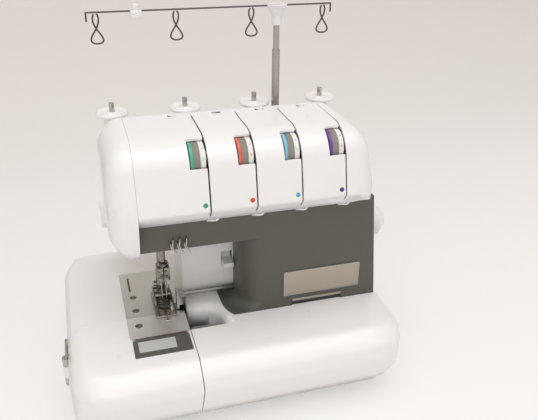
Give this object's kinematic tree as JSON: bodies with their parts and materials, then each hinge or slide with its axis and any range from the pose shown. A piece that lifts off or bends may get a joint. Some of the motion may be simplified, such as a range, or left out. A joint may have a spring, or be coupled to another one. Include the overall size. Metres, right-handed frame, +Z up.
{
  "type": "overlock sewing machine",
  "caption": "Free-standing overlock sewing machine: hinged bed covers, tension dials, presser foot, needles, knives, loopers, handwheel, spool shelf and telescopic thread guide.",
  "frame": {"origin": "on the table under the middle of the whole machine, in the plane of the rubber feet", "axes": "+Z up, +X to the handwheel side, -Y to the person who sews"},
  "size_m": [0.3355, 0.2362, 0.3502],
  "materials": {
    "white_plastic": "glossy moulded white",
    "grey_plastic": "satin dark warm grey",
    "dial_plastic": "knurled grey brown with coloured and white bands",
    "bright_steel": "polished plated steel",
    "satin_steel": "brushed",
    "label_metal": "satin, bare",
    "cast_metal": "die-cast",
    "motor_metal": "black painted",
    "bush_metal": "sintered bronze",
    "soft_rubber": "matt black",
    "white_rubber": "matt pale",
    "black_plastic": "matt black"
  },
  "bodies": {
    "machine": {"bottom_plate": "black_plastic", "rubber_feet": "white_rubber", "base_casing": "white_plastic", "plate_screws": "bright_steel", "needle_plate": "satin_steel", "swing_hinge": "bright_steel", "front_panel": "grey_plastic", "name_plate": "label_metal", "grip_strip": "label_metal", "rear_casing": "white_plastic", "tension_cover": "white_plastic", "left_end_cap": "white_plastic", "tension_bracket": "satin_steel", "tension_discs": "bright_steel", "tension_springs": "bright_steel", "needle_thread_hooks": "bright_steel", "frame_casting": "cast_metal", "shaft_bushes": "bush_metal", "motor": "motor_metal", "drive_belt": "soft_rubber", "presser_spring": "satin_steel", "lower_knife": "satin_steel", "spool_shelf": "white_plastic", "spool_pins": "bright_steel", "spool_holders": "white_plastic", "lower_tower_tube": "bright_steel", "mains_socket": "black_plastic"},
    "swing_cover": {"swing_cover": "white_plastic", "cover_plate": "satin_steel", "cover_screw": "bright_steel", "window_plate": "satin_steel"},
    "hinge_rod": {"cover_hinge_rod": "bright_steel"},
    "looper_cover": {"looper_cover": "white_plastic"},
    "drive_shaft": {"main_shaft": "satin_steel", "belt_pulley": "black_plastic", "handwheel": "white_plastic"},
    "motor_rotor": {"motor_pulley": "satin_steel"},
    "arm_shaft": {"arm_shaft": "satin_steel"},
    "needle_bar": {"needle_bar": "bright_steel", "needles": "bright_steel", "clamp_screws": "bright_steel"},
    "presser_bar": {"presser_bar": "bright_steel", "presser_foot": "bright_steel"},
    "presser_lever": {"presser_lever": "white_plastic"},
    "feed": {"feed_dogs": "satin_steel"},
    "knife": {"upper_knife": "satin_steel", "upper_knife_arm": "bright_steel"},
    "lower_looper": {"lower_looper": "bright_steel"},
    "upper_looper": {"upper_looper": "bright_steel"},
    "dial_1": {"tension_dial_1": "dial_plastic"},
    "dial_2": {"tension_dial_2": "dial_plastic"},
    "dial_3": {"tension_dial_3": "dial_plastic"},
    "dial_4": {"tension_dial_4": "dial_plastic"},
    "tower_tube": {"upper_tower_tube": "bright_steel"},
    "tower_head": {"tower_head": "white_plastic", "guide_bar": "satin_steel", "thread_loops": "satin_steel", "guide_clip": "white_plastic"},
    "rocker": {"power_switch": "black_plastic"},
    "length_knob": {"stitch_length_knob": "white_plastic"}
  },
  "joints": [
    {"name": "swing_cover_hinge", "type": "hinge", "parent": "machine", "child": "swing_cover", "pos_m": [-0.16375, -0.04086, 0.043], "axis": [0, 0, -1], "range_deg": [0, 90]},
    {"name": "looper_cover_slide", "type": "slide", "parent": "machine", "child": "hinge_rod", "axis": [1, 0, 0], "range_m": [0, 0.008]},
    {"name": "looper_cover_hinge", "type": "hinge", "parent": "hinge_rod", "child": "looper_cover", "pos_m": [0.03975, -0.09186, 0.015], "axis": [1, 0, 0], "range_deg": [0, 60]},
    {"name": "handwheel_turn", "type": "hinge", "parent": "machine", "child": "drive_shaft", "pos_m": [0.11475, 0.01114, 0.13], "axis": [1, 0, 0], "continuous": true},
    {"name": "motor_turn", "type": "hinge", "parent": "machine", "child": "motor_rotor", "pos_m": [0.07475, 0.02314, 0.041], "axis": [1, 0, 0], "continuous": true},
    {"name": "arm_shaft_rock", "type": "hinge", "parent": "machine", "child": "arm_shaft", "pos_m": [-0.00525, 0.02514, 0.2], "axis": [1, 0, 0], "range_deg": [0, 35]},
    {"name": "needle_bar_slide", "type": "slide", "parent": "machine", "child": "needle_bar", "axis": [0, 0, 1], "range_m": [-0.024, 0]},
    {"name": "upper_knife_rock", "type": "hinge", "parent": "machine", "child": "knife", "pos_m": [-0.00525, -0.00786, 0.086], "axis": [1, 0, 0], "range_deg": [0, 10]},
    {"name": "lower_looper_rock", "type": "hinge", "parent": "machine", "child": "lower_looper", "pos_m": [-0.03925, -0.00686, 0.028], "axis": [0, 1, 0], "range_deg": [0, 18]},
    {"name": "upper_looper_rock", "type": "hinge", "parent": "machine", "child": "upper_looper", "pos_m": [-0.02525, -0.00686, 0.044], "axis": [0, 1, 0], "range_deg": [-12, 0]},
    {"name": "feed_slide", "type": "slide", "parent": "machine", "child": "feed", "axis": [0, 1, 0], "range_m": [0, 0.0025]},
    {"name": "presser_lever_lift", "type": "hinge", "parent": "machine", "child": "presser_lever", "pos_m": [-0.00375, 0.01714, 0.113], "axis": [-1, 0, 0], "range_deg": [0, 20]},
    {"name": "presser_bar_lift", "type": "slide", "parent": "machine", "child": "presser_bar", "axis": [0, 0, 1], "range_m": [0, 0.0055], "deforming": ["presser_spring"]},
    {"name": "tower_rise", "type": "slide", "parent": "machine", "child": "tower_tube", "axis": [0, 0, 1], "range_m": [-0.022, 0.1]},
    {"name": "tower_swivel", "type": "hinge", "parent": "tower_tube", "child": "tower_head", "pos_m": [0.06475, 0.06364, 0.33], "axis": [0, 0, 1], "range_deg": [-45, 45]},
    {"name": "switch_rock", "type": "hinge", "parent": "machine", "child": "rocker", "pos_m": [0.14725, 0.03714, 0.053], "axis": [0, 0, 1], "range_deg": [-7, 7]},
    {"name": "length_knob_turn", "type": "hinge", "parent": "machine", "child": "length_knob", "pos_m": [0.14275, 0.03314, 0.098], "axis": [1, 0, 0], "range_deg": [-120, 120]},
    {"name": "dial_1_turn", "type": "hinge", "parent": "machine", "child": "dial_1", "pos_m": [-0.03715, -0.03876, 0.239], "axis": [1, 0, 0], "range_deg": [-150, 150]},
    {"name": "dial_2_turn", "type": "hinge", "parent": "machine", "child": "dial_2", "pos_m": [0.00365, -0.03876, 0.239], "axis": [1, 0, 0], "range_deg": [-150, 150]},
    {"name": "dial_3_turn", "type": "hinge", "parent": "machine", "child": "dial_3", "pos_m": [0.04445, -0.03876, 0.239], "axis": [1, 0, 0], "range_deg": [-150, 150]},
    {"name": "dial_4_turn", "type": "hinge", "parent": "machine", "child": "dial_4", "pos_m": [0.08525, -0.03876, 0.239], "axis": [1, 0, 0], "range_deg": [-150, 150]}
  ],
  "couplings": [
    {"joint": "motor_turn", "follows": "handwheel_turn", "ratio": 2.8889},
    {"joint": "needle_bar_slide", "follows": "arm_shaft_rock", "m_per_rad": -0.0392},
    {"joint": "upper_knife_rock", "follows": "arm_shaft_rock", "ratio": 0.285},
    {"joint": "lower_looper_rock", "follows": "arm_shaft_rock", "ratio": 0.51},
    {"joint": "upper_looper_rock", "follows": "arm_shaft_rock", "ratio": -0.34},
    {"joint": "feed_slide", "follows": "arm_shaft_rock", "m_per_rad": 0.004},
    {"joint": "presser_lever_lift", "follows": "presser_bar_lift", "rad_per_m": 63.4}
  ]
}
